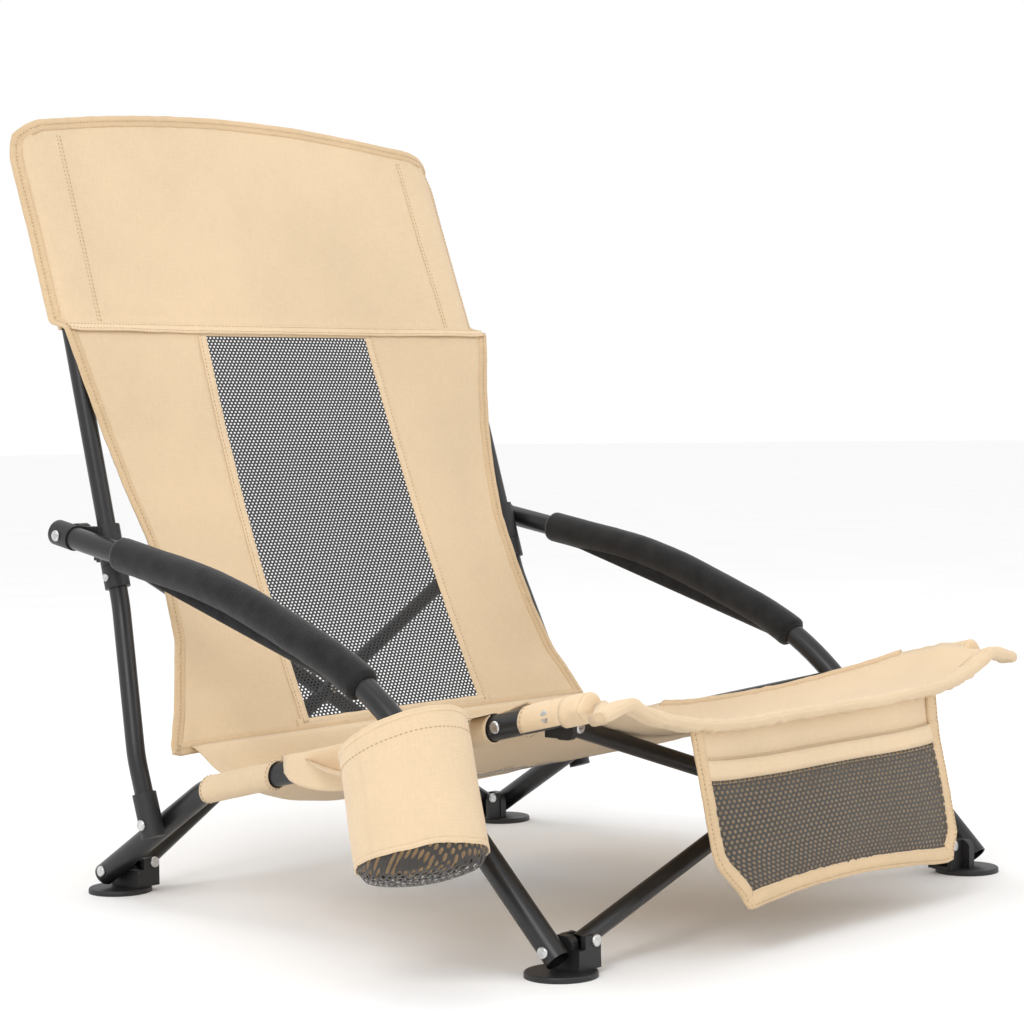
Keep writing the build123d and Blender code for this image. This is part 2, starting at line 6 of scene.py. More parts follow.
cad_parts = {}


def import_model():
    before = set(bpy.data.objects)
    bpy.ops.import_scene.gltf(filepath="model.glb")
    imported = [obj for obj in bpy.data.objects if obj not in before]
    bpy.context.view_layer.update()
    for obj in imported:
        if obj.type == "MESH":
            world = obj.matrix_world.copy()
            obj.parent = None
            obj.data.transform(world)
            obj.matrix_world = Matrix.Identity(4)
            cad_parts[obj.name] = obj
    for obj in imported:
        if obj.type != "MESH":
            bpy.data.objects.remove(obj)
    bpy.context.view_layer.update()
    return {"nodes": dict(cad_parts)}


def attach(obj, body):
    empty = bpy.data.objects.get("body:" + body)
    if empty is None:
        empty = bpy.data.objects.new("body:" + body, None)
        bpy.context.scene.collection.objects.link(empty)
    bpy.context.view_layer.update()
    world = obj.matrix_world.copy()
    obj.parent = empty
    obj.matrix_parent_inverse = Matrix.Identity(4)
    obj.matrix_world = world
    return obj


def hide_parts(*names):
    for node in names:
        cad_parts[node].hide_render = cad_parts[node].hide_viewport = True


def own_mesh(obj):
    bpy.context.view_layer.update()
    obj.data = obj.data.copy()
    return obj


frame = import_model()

SHIFT = np.array([60.75, -37.7, 0.0])  # part.py's ORIGIN_SHIFT, mm
MM = 0.001
nodes = frame["nodes"]


# ---------------------------------------------------------------- helpers
def table(t, rows):
    """Value between (position, value) rows, straight from one row to the next."""
    xs = [r[0] for r in rows]
    ys = [r[1] for r in rows]
    return float(np.interp(t, xs, ys))


def smooth(t):
    t = min(1.0, max(0.0, t))
    return t * t * (3 - 2 * t)


def wob(x, y, z=0.0):
    return noise.noise(Vector((x, y, z)))


def world(p):
    return (np.asarray(p, float) + SHIFT) * MM


def side_name(side):
    """The sitter's left is at +x and the sitter's right at -x."""
    return "left" if side > 0 else "right"


def circle(count):
    """Angles of a full turn in equal steps; the last step leads back to the first angle."""
    return np.linspace(0, 2 * math.pi, count + 1)[:-1]


def make(name, pts, faces, mat, uvs=None, thick=0.0, smooth_shade=True):
    """Mesh from points in mm (chair layout) with UVs in metres."""
    me = bpy.data.meshes.new(name)
    me.from_pydata([tuple(world(p)) for p in pts], [], [tuple(int(i) for i in f) for f in faces])
    if uvs is not None:
        layer = me.uv_layers.new(name="UVMap")
        flat = np.array([l.vertex_index for l in me.loops])
        layer.data.foreach_set("uv", np.asarray(uvs, float)[flat].ravel())
    me.materials.append(mat)
    if smooth_shade:
        me.polygons.foreach_set("use_smooth", [True] * len(me.polygons))
    me.update()
    ob = bpy.data.objects.new(name, me)
    bpy.context.scene.collection.objects.link(ob)
    if thick > 0:
        m = ob.modifiers.new("Solidify", "SOLIDIFY")
        m.thickness = thick * MM
        m.offset = 0.0
    return ob


def grid(name, G, mat, thick=0.0, uv=None, keep=None, close=False):
    """Sheet from an array of points G[row, column] in mm."""
    G = np.asarray(G, float)
    n, m = G.shape[:2]
    if uv is None:
        du = np.linalg.norm(np.diff(G, axis=1), axis=2).mean(axis=0)
        dv = np.linalg.norm(np.diff(G, axis=0), axis=2).mean(axis=1)
        u = np.concatenate([[0], np.cumsum(du)])
        v = np.concatenate([[0], np.cumsum(dv)])
        uv = np.stack(np.meshgrid(u, v), axis=2)
    faces = []
    for i in range(n - 1):
        for j in range(m - 1 + (1 if close else 0)):
            if keep is not None and not keep(i, j):
                continue
            k = (j + 1) % m
            faces.append((i * m + j, i * m + k, (i + 1) * m + k, (i + 1) * m + j))
    used = sorted({v for f in faces for v in f})
    index = {v: k for k, v in enumerate(used)}
    pts = G.reshape(-1, 3)[used]
    uvs = uv.reshape(-1, 2)[used] * MM
    return make(name, pts, [[index[v] for v in f] for f in faces], mat, uvs, thick)


def normals_of(G):
    G = np.asarray(G, float)
    gu = np.gradient(G, axis=1)
    gv = np.gradient(G, axis=0)
    n = np.cross(gu, gv)
    return n / np.maximum(np.linalg.norm(n, axis=2, keepdims=True), 1e-9)


def resample(path, nrm, step, closed=False):
    path, nrm = np.asarray(path, float), np.asarray(nrm, float)
    if closed:
        path = np.vstack([path, path[:1]])
        nrm = np.vstack([nrm, nrm[:1]])
    d = np.concatenate([[0], np.cumsum(np.linalg.norm(np.diff(path, axis=0), axis=1))])
    count = max(2, int(round(d[-1] / step)) + 1)
    s = np.linspace(0, d[-1], count)
    out = np.stack([np.interp(s, d, path[:, k]) for k in range(3)], axis=1)
    nn = np.stack([np.interp(s, d, nrm[:, k]) for k in range(3)], axis=1)
    nn /= np.maximum(np.linalg.norm(nn, axis=1, keepdims=True), 1e-9)
    if closed:
        out, nn, s = out[:-1], nn[:-1], s[:-1]
    return out, nn, s


def frames(path, nrm, closed=False):
    if closed:
        t = np.roll(path, -1, axis=0) - np.roll(path, 1, axis=0)
    else:
        t = np.gradient(path, axis=0)
    t /= np.maximum(np.linalg.norm(t, axis=1, keepdims=True), 1e-9)
    side = np.cross(t, nrm)
    side /= np.maximum(np.linalg.norm(side, axis=1, keepdims=True), 1e-9)
    up = np.cross(side, t)
    return t, side, up


def tape(name, path, nrm, width, thick, mat, closed=False, shift=0.0, lift=0.0,
         pucker=0.35, step=4.0, seed=0.0):
    """Flat sewn tape along a path: width across the surface, thick along its normal."""
    p, nn, s = resample(path, nrm, step, closed)
    _, side, up = frames(p, nn, closed)
    rings = []
    section = []
    k = 14
    for a in range(k):
        ang = 2 * math.pi * a / k
        c, d = math.cos(ang), math.sin(ang)
        across = math.copysign(abs(c) ** 0.45, c) * width / 2
        section.append((across, math.copysign(abs(d) ** 0.7, d) * thick / 2))
    for i in range(len(p)):
        wav = 1 + pucker * wob(s[i] / 7.0, seed, 3.1)
        edge = pucker * 1.5 * wob(s[i] / 16.0, seed + 5.0, 1.7)
        rings.append([p[i] + side[i] * (a + shift + edge) + up[i] * (b * wav + lift) for a, b in section])
    R = np.array(rings)
    u = np.array([width * a / k for a in range(k)])
    uv = np.stack(np.meshgrid(u, s), axis=2)
    faces = []
    n = len(R)
    for i in range(n - (0 if closed else 1)):
        for j in range(k):
            j2, here, ahead = (j + 1) % k, i * k, ((i + 1) % n) * k
            faces.append((here + j, here + j2, ahead + j2, ahead + j))
    if not closed:
        faces.append(tuple(range(k))[::-1])
        faces.append(tuple((n - 1) * k + j for j in range(k)))
    return make(name, R.reshape(-1, 3), faces, mat, uv.reshape(-1, 2) * MM)


def stitches(name, path, nrm, mat, pitch=4.2, length=2.9, rad=0.42, shift=0.0, lift=0.3, closed=False):
    """A row of thread stitches as one piece."""
    p, nn, s = resample(path, nrm, pitch, closed)
    t, side, up = frames(p, nn, closed)
    pts, faces = [], []
    for i in range(len(p)):
        c = p[i] + side[i] * shift + up[i] * lift
        b = len(pts)
        pts += [c - t[i] * length / 2 - up[i] * 0.25, c + t[i] * length / 2 - up[i] * 0.25]
        for q in (-1, 1):
            o = c + t[i] * length * 0.22 * q
            pts += [o + side[i] * rad, o + up[i] * rad, o - side[i] * rad, o - up[i] * rad]
        for k in range(4):
            k2 = (k + 1) % 4
            faces.append((b, b + 2 + k2, b + 2 + k))
            faces.append((b + 2 + k, b + 2 + k2, b + 6 + k2, b + 6 + k))
            faces.append((b + 1, b + 6 + k, b + 6 + k2))
    return make(name, pts, faces, mat)


# ---------------------------------------------------------------- materials
def material(name):
    m = bpy.data.materials.new(name)
    m.use_nodes = True
    nt = m.node_tree
    return m, nt, nt.nodes["Principled BSDF"]


def node(nt, kind, **props):
    n = nt.nodes.new(kind)
    for k, v in props.items():
        setattr(n, k, v)
    return n


def ramp(nt, fac, stops):
    r = node(nt, "ShaderNodeValToRGB")
    el = r.color_ramp.elements
    while len(el) < len(stops):
        el.new(0.5)
    for e, (pos, col) in zip(el, stops):
        e.position = pos
        e.color = (*col, 1.0)
    nt.links.new(fac, r.inputs["Fac"])
    return r.outputs["Color"]


def math_node(nt, op, a, b=None):
    n = node(nt, "ShaderNodeMath", operation=op)
    for i, v in enumerate((a, b)):
        if v is None:
            continue
        if isinstance(v, (int, float)):
            n.inputs[i].default_value = v
        else:
            nt.links.new(v, n.inputs[i])
    return n.outputs[0]


def noise_node(nt, coords, scale, detail=4.0, rough=0.55, stretch=None):
    n = node(nt, "ShaderNodeTexNoise")
    n.inputs["Scale"].default_value = scale
    n.inputs["Detail"].default_value = detail
    n.inputs["Roughness"].default_value = rough
    if stretch is not None:
        mp = node(nt, "ShaderNodeMapping")
        mp.inputs["Scale"].default_value = stretch
        nt.links.new(coords, mp.inputs["Vector"])
        coords = mp.outputs["Vector"]
    nt.links.new(coords, n.inputs["Vector"])
    return n.outputs["Fac"]


def bump_node(nt, height, strength, distance):
    """Bump node for a height, with its distance in metres."""
    b = node(nt, "ShaderNodeBump")
    b.inputs["Strength"].default_value = strength
    b.inputs["Distance"].default_value = distance
    nt.links.new(height, b.inputs["Height"])
    return b


def weave(nt, uv, pitch):
    """Height of a plain weave with that thread pitch in metres, from 0 to 1."""
    sep = node(nt, "ShaderNodeSeparateXYZ")
    nt.links.new(uv, sep.inputs[0])
    k = math.pi / pitch
    su = math_node(nt, "SINE", math_node(nt, "MULTIPLY", sep.outputs[0], k))
    sv = math_node(nt, "SINE", math_node(nt, "MULTIPLY", sep.outputs[1], k))
    cell = math_node(nt, "MULTIPLY", su, sv)
    au = math_node(nt, "ABSOLUTE", su)
    av = math_node(nt, "ABSOLUTE", sv)
    over = math_node(nt, "GREATER_THAN", cell, 0.0)
    a = math_node(nt, "MULTIPLY", au, over)
    b = math_node(nt, "MULTIPLY", av, math_node(nt, "SUBTRACT", 1.0, over))
    return math_node(nt, "ADD", a, b)


def canvas_material(name, base, pitch=0.0011, rough=0.86, ribs=None):
    m, nt, bsdf = material(name)
    tc = node(nt, "ShaderNodeTexCoord")
    uv, ob = tc.outputs["UV"], tc.outputs["Object"]
    height = weave(nt, uv, pitch)
    big = noise_node(nt, ob, 5.0, 3.0)
    slub = noise_node(nt, uv, 900.0, 3.0, 0.6, (0.08, 1.0, 1.0))
    slub2 = noise_node(nt, uv, 900.0, 3.0, 0.6, (1.0, 0.08, 1.0))
    slubs = math_node(nt, "MULTIPLY", math_node(nt, "ADD", slub, slub2), 0.27)
    mix = math_node(nt, "ADD", math_node(nt, "MULTIPLY", big, 0.45), slubs)
    lo = tuple(c * 0.90 for c in base)
    hi = tuple(min(1.0, c * 1.06) for c in base)
    col = ramp(nt, mix, [(0.36, lo), (0.62, hi)])
    # painted shade: the base colour is darkened in the weave's low points between the threads
    weave_painted_shade = node(nt, "ShaderNodeMix", data_type="RGBA", blend_type="MULTIPLY")
    weave_painted_shade.inputs["Factor"].default_value = 0.35
    nt.links.new(col, weave_painted_shade.inputs["A"])
    nt.links.new(ramp(nt, height, [(0.0, (0.55, 0.52, 0.47)), (0.8, (1.0, 1.0, 1.0))]), weave_painted_shade.inputs["B"])
    nt.links.new(weave_painted_shade.outputs["Result"], bsdf.inputs["Base Color"])
    gloss = ramp(nt, slub, [(0.3, (rough - 0.06,) * 3), (0.7, (rough + 0.05,) * 3)])
    nt.links.new(gloss, bsdf.inputs["Roughness"])
    bsdf.inputs["Sheen Weight"].default_value = 0.18
    bsdf.inputs["Sheen Roughness"].default_value = 0.5
    bsdf.inputs["Specular IOR Level"].default_value = 0.25
    soft = noise_node(nt, ob, 38.0, 3.0, 0.5)
    threads = math_node(nt, "MULTIPLY", height, 0.22)
    total = math_node(nt, "ADD", threads, math_node(nt, "MULTIPLY", slub2, 0.18))
    if ribs:
        sep = node(nt, "ShaderNodeSeparateXYZ")
        nt.links.new(uv, sep.inputs[0])
        phase = math_node(nt, "MULTIPLY", sep.outputs[1], math.pi / ribs)
        rib = math_node(nt, "ABSOLUTE", math_node(nt, "SINE", phase))
        total = math_node(nt, "ADD", total, math_node(nt, "MULTIPLY", rib, 0.9))
    fine = bump_node(nt, total, 0.55, 0.0006)
    broad = bump_node(nt, soft, 0.25, 0.004)
    nt.links.new(fine.outputs["Normal"], broad.inputs["Normal"])
    nt.links.new(broad.outputs["Normal"], bsdf.inputs["Normal"])
    return m


def net_material(name, base, pitch=0.0052, hole=0.33):
    """Knitted net: rows of holes, every other row moved by half a pitch."""
    m, nt, bsdf = material(name)
    tc = node(nt, "ShaderNodeTexCoord")
    sep = node(nt, "ShaderNodeSeparateXYZ")
    nt.links.new(tc.outputs["UV"], sep.inputs[0])
    row_h = pitch * 0.62
    v = math_node(nt, "DIVIDE", sep.outputs[1], row_h)
    row = math_node(nt, "FLOOR", v)
    odd = math_node(nt, "MULTIPLY", math_node(nt, "MODULO", math_node(nt, "ADD", row, 4000.0), 2.0), 0.5)
    u = math_node(nt, "ADD", math_node(nt, "DIVIDE", sep.outputs[0], pitch), odd)
    fu = math_node(nt, "SUBTRACT", math_node(nt, "FRACT", u), 0.5)
    fv = math_node(nt, "MULTIPLY", math_node(nt, "SUBTRACT", math_node(nt, "FRACT", v), 0.5), row_h / pitch)
    du = math_node(nt, "POWER", math_node(nt, "ABSOLUTE", fu), 2.0)
    dv = math_node(nt, "POWER", math_node(nt, "ABSOLUTE", math_node(nt, "MULTIPLY", fv, 1.25)), 2.0)
    dist = math_node(nt, "SQRT", math_node(nt, "ADD", du, dv))
    wobble = math_node(nt, "MULTIPLY", noise_node(nt, tc.outputs["UV"], 420.0, 2.0), 0.06)
    solid = math_node(nt, "GREATER_THAN", math_node(nt, "ADD", dist, wobble), hole)
    nt.links.new(solid, bsdf.inputs["Alpha"])
    n = noise_node(nt, tc.outputs["UV"], 1500.0, 3.0)
    shades = [(0.3, tuple(c * 0.6 for c in base)), (0.75, tuple(c * 1.7 for c in base))]
    nt.links.new(ramp(nt, n, shades), bsdf.inputs["Base Color"])
    bsdf.inputs["Roughness"].default_value = 0.62
    bsdf.inputs["Sheen Weight"].default_value = 0.15
    b = bump_node(nt, dist, 0.8, 0.0008)
    nt.links.new(b.outputs["Normal"], bsdf.inputs["Normal"])
    return m


def coat_material(name, base, rough, grain=1400.0, bump=0.12, spec=0.5):
    """Powder coat or moulded plastic: fine orange peel, slight colour and gloss changes."""
    m, nt, bsdf = material(name)
    tc = node(nt, "ShaderNodeTexCoord")
    ob = tc.outputs["Object"]
    big = noise_node(nt, ob, 22.0, 4.0)
    fine = noise_node(nt, ob, grain, 3.0)
    shades = [(0.3, tuple(c * 0.82 for c in base)), (0.7, tuple(c * 1.25 for c in base))]
    nt.links.new(ramp(nt, big, shades), bsdf.inputs["Base Color"])
    gloss = ramp(nt, big, [(0.3, (rough - 0.05,) * 3), (0.7, (rough + 0.07,) * 3)])
    nt.links.new(gloss, bsdf.inputs["Roughness"])
    bsdf.inputs["Specular IOR Level"].default_value = spec
    b = bump_node(nt, fine, bump, 0.0005)
    nt.links.new(b.outputs["Normal"], bsdf.inputs["Normal"])
    return m


def foam_material():
    m, nt, bsdf = material("closed_cell_foam")
    tc = node(nt, "ShaderNodeTexCoord")
    ob = tc.outputs["Object"]
    vor = node(nt, "ShaderNodeTexVoronoi")
    vor.inputs["Scale"].default_value = 950.0
    nt.links.new(ob, vor.inputs["Vector"])
    n = noise_node(nt, ob, 60.0, 5.0)
    shades = [(0.3, (0.010, 0.010, 0.011)), (0.7, (0.021, 0.021, 0.022))]
    nt.links.new(ramp(nt, n, shades), bsdf.inputs["Base Color"])
    bsdf.inputs["Roughness"].default_value = 0.93
    bsdf.inputs["Sheen Weight"].default_value = 0.25
    bsdf.inputs["Sheen Roughness"].default_value = 0.45
    bsdf.inputs["Specular IOR Level"].default_value = 0.2
    cells = math_node(nt, "MULTIPLY", vor.outputs["Distance"], 0.8)
    h = math_node(nt, "ADD", cells, math_node(nt, "MULTIPLY", n, 0.6))
    b = bump_node(nt, h, 0.5, 0.0009)
    nt.links.new(b.outputs["Normal"], bsdf.inputs["Normal"])
    return m


def zinc_material():
    m, nt, bsdf = material("zinc_plate")
    tc = node(nt, "ShaderNodeTexCoord")
    n = noise_node(nt, tc.outputs["Object"], 260.0, 5.0)
    shades = [(0.3, (0.46, 0.47, 0.49)), (0.7, (0.74, 0.74, 0.72))]
    nt.links.new(ramp(nt, n, shades), bsdf.inputs["Base Color"])
    nt.links.new(ramp(nt, n, [(0.3, (0.22,) * 3), (0.7, (0.42,) * 3)]), bsdf.inputs["Roughness"])
    bsdf.inputs["Metallic"].default_value = 1.0
    b = bump_node(nt, n, 0.15, 0.0004)
    nt.links.new(b.outputs["Normal"], bsdf.inputs["Normal"])
    return m


BEIGE = (0.760, 0.585, 0.385)
CANVAS = canvas_material("beige_canvas", BEIGE)
BINDING = canvas_material("beige_binding", (0.700, 0.515, 0.315), pitch=0.0016, ribs=0.0018)
THREAD = canvas_material("beige_thread", (0.600, 0.425, 0.235), pitch=0.0008)
NET = net_material("black_net", (0.011, 0.011, 0.012), hole=0.28)
NET_FINE = net_material("dark_net", (0.030, 0.025, 0.021), pitch=0.0066, hole=0.31)
TUBE = coat_material("black_powder_coat", (0.010, 0.010, 0.011), 0.33, bump=0.10)
PLASTIC = coat_material("black_plastic", (0.013, 0.013, 0.014), 0.48, grain=2600.0, bump=0.2)
FOAM = foam_material()
ZINC = zinc_material()

for name, ob in nodes.items():
    if "rivet" in name:
        mat = ZINC
    elif name.startswith(("seat_rail", "back_post", "arm_leg", "front_brace", "rear_brace")):
        mat = TUBE
    elif name.startswith("foam"):
        mat = FOAM
    else:
        mat = PLASTIC
    ob.data.materials.clear()
    ob.data.materials.append(mat)


# ---------------------------------------------------------------- the frame's lines, from part.py (mm)
RAIL_X = 288.0
RAIL_REAR_Y, RAIL_REAR_Z, RAIL_SLOPE = 160.0, 113.0, 0.2257
ARM_X = 316.5
# z, y and x of points up the post's line; the last is past its top
POST = [(78.7, 215.0, 311.0), (140.0, 234.0, 311.0), (285.0, 282.0, 286.6),
        (554.0, 355.7, 281.2), (748.0, 424.0, 275.0), (790.0, 438.8, 273.7)]


def rail_z(y):
    return RAIL_REAR_Z + (RAIL_REAR_Y - y) * RAIL_SLOPE


def post_y(z):
    return table(z, [(r[0], r[1]) for r in POST])


def post_x(z):
    return table(z, [(r[0], r[2]) for r in POST])


# ---------------------------------------------------------------- back cloth
SEAM_Z = 556.0
BACK_LOW_Z = 152.0
BACK_TOP_Z = 768.0
SLEEVE_CLOSE_Z = 752.0
# half width of the back by height, mm
BACK_W = [(130, 300), (150, 296), (180, 281), (200, 271), (250, 255), (300, 250), (350, 252),
          (400, 262), (450, 272), (500, 284), (540, 294), (556, 298), (650, 297), (740, 297),
          (790, 296)]
# y of the back's side edges by height, mm
BACK_EDGE_Y = [(130, 187), (150, 195), (180, 207), (200, 217), (250, 233), (300, 253), (350, 277),
               (400, 297), (450, 313), (500, 325), (540, 333), (556, 338)]


def net_half(z):
    return 121.0 + (548.0 - z) / 399.0 * 9.0


def top_z(x):
    a = abs(x)
    return 781.0 - 15.0 * (a / 235.0) ** 2 - 14.0 * max(0.0, (a - 262.0) / 35.0) ** 2.2


def back_y(x, z, w):
    r = abs(x) / w
    if z <= SEAM_Z:
        middle = 182.0 + (z - 140.0) * 0.3966
        y = middle + (table(z, BACK_EDGE_Y) - middle) * smooth((r - 0.45) / 0.5)
        f = math.sin(math.pi * min(1.0, max(0.0, (z - 140.0) / 416.0)))
        y += 13.0 * f * (1 - r * r)
    else:
        px = post_x(z)
        a = abs(x) - px
        py = post_y(z)
        off = -10.4
        if a > 0:
            off = -10.4 * math.sqrt(max(0.0, 1 - (a / 17.0) ** 2))
        elif a < -12:
            off = -10.4 + 4.5 * smooth((-a - 12.0) / 40.0)
        y = py + off
    y += 1.7 * wob(x / 85.0, z / 150.0, 1.0) * (1 - 0.4 * r)
    y += 0.7 * wob(x / 34.0, z / 70.0, 4.0)
    if z > SEAM_Z:
        y += 1.5 * wob(x / 42.0, z / 190.0, 7.0) * (1 - r ** 6)
    return y


side_cols = 14
net_cols = 30
rows_low = list(np.linspace(0.0, 1.0, 58))
rows_head = list(np.linspace(0.0, 1.0, 32))[1:]


def columns(w, m):
    """x of a sheet's columns: cloth from -w to -m, net to m, cloth to w."""
    xs = list(np.linspace(-w, -m, side_cols + 1))
    xs += list(np.linspace(-m, m, net_cols + 1))[1:]
    xs += list(np.linspace(m, w, side_cols + 1))[1:]
    return xs


B = []
for t in rows_low:
    line = []
    z0 = BACK_LOW_Z + t * (SEAM_Z - BACK_LOW_Z)
    w, m = table(z0, BACK_W), net_half(z0)
    for x in columns(w, m):
        r = abs(x) / w
        z = z0 - 3.0 * (r ** 3) * (1 - t) ** 3
        line.append((x, back_y(x, z, w), z))
    B.append(line)
for t in rows_head:
    line = []
    zt0 = SEAM_Z + t * (BACK_TOP_Z - SEAM_Z)
    w, m = table(zt0, BACK_W), net_half(zt0)
    corner = 5.0 * smooth((t - 0.90) / 0.10)
    for x in columns(w - corner, m):
        z = SEAM_Z + t * (top_z(x) - SEAM_Z)
        line.append((x, back_y(x, z, w), z))
    B.append(line)
B = np.array(B)
BN = normals_of(B)
if BN[10, 30][1] > 0:
    BN = -BN
n_low = len(rows_low)
first_net, last_net = side_cols, side_cols + net_cols
NET_TOP = n_low - 2


def in_net(i, j):
    return 1 <= i < NET_TOP and first_net <= j < last_net


back = grid("back_cloth", B, CANVAS, 1.0, keep=lambda i, j: not in_net(i, j))
back_net = grid("back_net", B, NET, 0.0, keep=in_net)

border = [(i, 0) for i in range(len(B))] + [(len(B) - 1, j) for j in range(1, B.shape[1])]
border += [(i, B.shape[1] - 1) for i in range(len(B) - 2, -1, -1)]
border += [(0, j) for j in range(B.shape[1] - 2, 0, -1)]
bp = np.array([B[i, j] for i, j in border])
bn = np.array([BN[i, j] for i, j in border])
back_tape = tape("back_binding", bp, bn, 13.0, 3.2, BINDING, closed=True, shift=0.0, seed=2.0)
back_tape_stitch = stitches("back_binding_stitch", bp, bn, THREAD, shift=0.0, lift=1.75, closed=True)
seam_path = B[n_low - 1, :]
seam_n = BN[n_low - 1, :]
seam_strip = tape("head_seam", seam_path, seam_n, 11.0, 2.0, CANVAS, lift=0.9, seed=5.0)
seam_stitch = [stitches(f"head_seam_stitch_{k}", seam_path, seam_n, THREAD, shift=q, lift=2.0)
               for k, q in enumerate((-3.4, 2.6))]
facings, facing_stitch = [], []
for k, j in enumerate((first_net, last_net)):
    p, nn = B[1:NET_TOP + 1, j], BN[1:NET_TOP + 1, j]
    facings.append(tape(f"back_facing_{k}", p, nn, 11.0, 1.8, CANVAS, lift=0.8, seed=8.0 + k))
    q = 3.0 if k else -3.0
    facing_stitch.append(stitches(f"back_facing_stitch_{k}", p, nn, THREAD, shift=q, lift=1.8))
hem_p, hem_n = B[1, first_net - 1:last_net + 2], BN[1, first_net - 1:last_net + 2]
facings.append(tape("back_facing_low", hem_p, hem_n, 9.0, 1.8, CANVAS, lift=0.8, seed=12.0))
# post sleeves behind the head panel and their seams
# a sleeve's section round its post: outward and rearward from the post's centre
SLEEVE_SECTION = [(13.5, -2.5), (12.0, 4.0), (8.0, 9.3), (2.0, 11.4), (-5.0, 10.2),
                  (-12.0, 5.6), (-19.0, -0.8), (-26.0, -5.6), (-33.0, -7.4)]
sleeves, sleeve_stitch = [], []
for side in (-1, 1):
    tag = side_name(side)
    G = []
    for z in np.linspace(SEAM_Z - 2.0, SLEEVE_CLOSE_Z + 6.0, 60):
        px, py = post_x(z), post_y(z)
        end = smooth((z - SLEEVE_CLOSE_Z) / 6.0)
        row = []
        for a, b in SLEEVE_SECTION:
            b2 = b * (1 - 0.75 * end) - 7.0 * end * 0.9
            row.append((side * (px + a), py + b2 + 0.5 * wob(a / 9.0, z / 26.0, 2.0 + side), z))
        G.append(row)
    sleeves.append(grid(f"post_sleeve_{tag}", G, CANVAS, 1.0))
    pp = []
    for z in np.linspace(SEAM_Z + 8, SLEEVE_CLOSE_Z, 40):
        x = side * (post_x(z) - 31.0)
        pp.append([x, back_y(x, z, table(z, BACK_W)), z])
    nn = np.array([[0, -0.94, 0.33]] * len(pp))
    for k, q in enumerate((-2.0, 2.0)):
        name = f"post_sleeve_stitch_{tag}_{k}"
        sleeve_stitch.append(stitches(name, pp, nn, THREAD, shift=q, lift=0.9))
back_parts = [back, back_net, back_tape, back_tape_stitch, seam_strip]
back_parts += [*seam_stitch, *facings, *facing_stitch]
for ob in back_parts:
    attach(ob, "post_right")
# the sleeves keep their width round the posts, so each rides its own post
sleeve_parts = sleeves + sleeve_stitch
for ob in sleeve_parts:
    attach(ob, "post_left" if "_left" in ob.name else "post_right")
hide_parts("back_panel")

# ---------------------------------------------------------------- seat cloth
SEAT_HALF = 277.0
SEAT_FRONT_Y, SEAT_REAR_Y = -346.0, 150.0
SEAT_NET_HALF, SEAT_NET_Y = 125.0, -80.0


def seat_profile(r):
    return 14.0 - 46.0 * (1 - min(1.0, abs(r)) ** 4.2)


def seat_half(y):
    notch = 15.0 * math.sin(math.pi * (62.0 - y) / 302.0) ** 0.8 if -240.0 < y < 62.0 else 0.0
    return SEAT_HALF - notch + 36.0 * smooth((-312.0 - y) / 34.0)


S_ROWS = list(np.linspace(SEAT_FRONT_Y, SEAT_REAR_Y, 64))
SKIRT = 9


def seat_row(y):
    e = seat_half(y)
    out = []
    for x in columns(e, SEAT_NET_HALF):
        z = rail_z(y) + seat_profile(x / SEAT_HALF) - 0.30 * max(0.0, abs(x) - SEAT_HALF)
        z -= 14.0 * smooth((-292.0 - y) / 54.0) * min(1.0, abs(x) / SEAT_HALF) ** 3
        z += 2.2 * wob(x / 90.0, y / 120.0, 11.0) * (1 - (abs(x) / SEAT_HALF) ** 3)
        z += 0.8 * wob(x / 30.0, y / 45.0, 14.0)
        tension = math.exp(-((abs(x) - e) / 26.0) ** 2)
        z += 1.6 * tension * wob(0.0, y / 9.0, 17.0 + (x > 0)) * 0.6
        out.append((x, y, z))
    return out


S = [seat_row(y) for y in S_ROWS]
last = S[-1]
for k in range(1, SKIRT + 1):
    t = k / SKIRT
    row = []
    for (x, y, z) in last:
        y2 = float(np.interp(x, B[0, :, 0], B[0, :, 1])) - 2.0
        z2 = float(np.interp(x, B[0, :, 0], B[0, :, 2])) + 1.0
        a = t * t * (3 - 2 * t)
        row.append((x, y + (y2 - y) * t, z + (z2 - z) * (0.35 * t + 0.65 * a)))
    S.append(row)
S = np.array(S)
SN = normals_of(S)
if SN[10, 30][2] < 0:
    SN = -SN
net_from = int(np.argmin(abs(np.array(S_ROWS) - SEAT_NET_Y)))
net_to = len(S_ROWS) - 3


def in_seat_net(i, j):
    return net_from <= i < net_to and first_net <= j < last_net


seat = grid("seat_cloth", S, CANVAS, 1.0, keep=lambda i, j: not in_seat_net(i, j))
seat_net = grid("seat_net", S, NET, 0.0, keep=in_seat_net)
front_hem = tape("seat_front_hem", S[0], SN[0], 20.0, 11.0, CANVAS, lift=-2.0,
                 pucker=0.5, step=5.0, seed=21.0)
front_line = stitches("seat_front_stitch", S[1], SN[1], THREAD, shift=-4.0, lift=0.9)
seat_parts = [seat, seat_net, front_hem, front_line]
for side, j in ((-1, 0), (1, S.shape[1] - 1)):
    i0 = int(np.argmin(abs(np.array(S_ROWS) + 242.0)))
    i1 = int(np.argmin(abs(np.array(S_ROWS) - 64.0)))
    p, nn = S[i0:i1 + 1, j], SN[i0:i1 + 1, j]
    seat_parts.append(tape(f"seat_edge_{side_name(side)}", p, nn, 10.0, 2.8, BINDING, seed=30.0 + side))
for k, j in enumerate((first_net, last_net)):
    p, nn = S[net_from:net_to + 1, j], SN[net_from:net_to + 1, j]
    seat_parts.append(tape(f"seat_facing_{k}", p, nn, 11.0, 2.4, CANVAS, seed=33.0 + k))
    q = 3.0 if k else -3.0
    seat_parts.append(stitches(f"seat_facing_stitch_{k}", p, nn, THREAD, shift=q, lift=1.4))
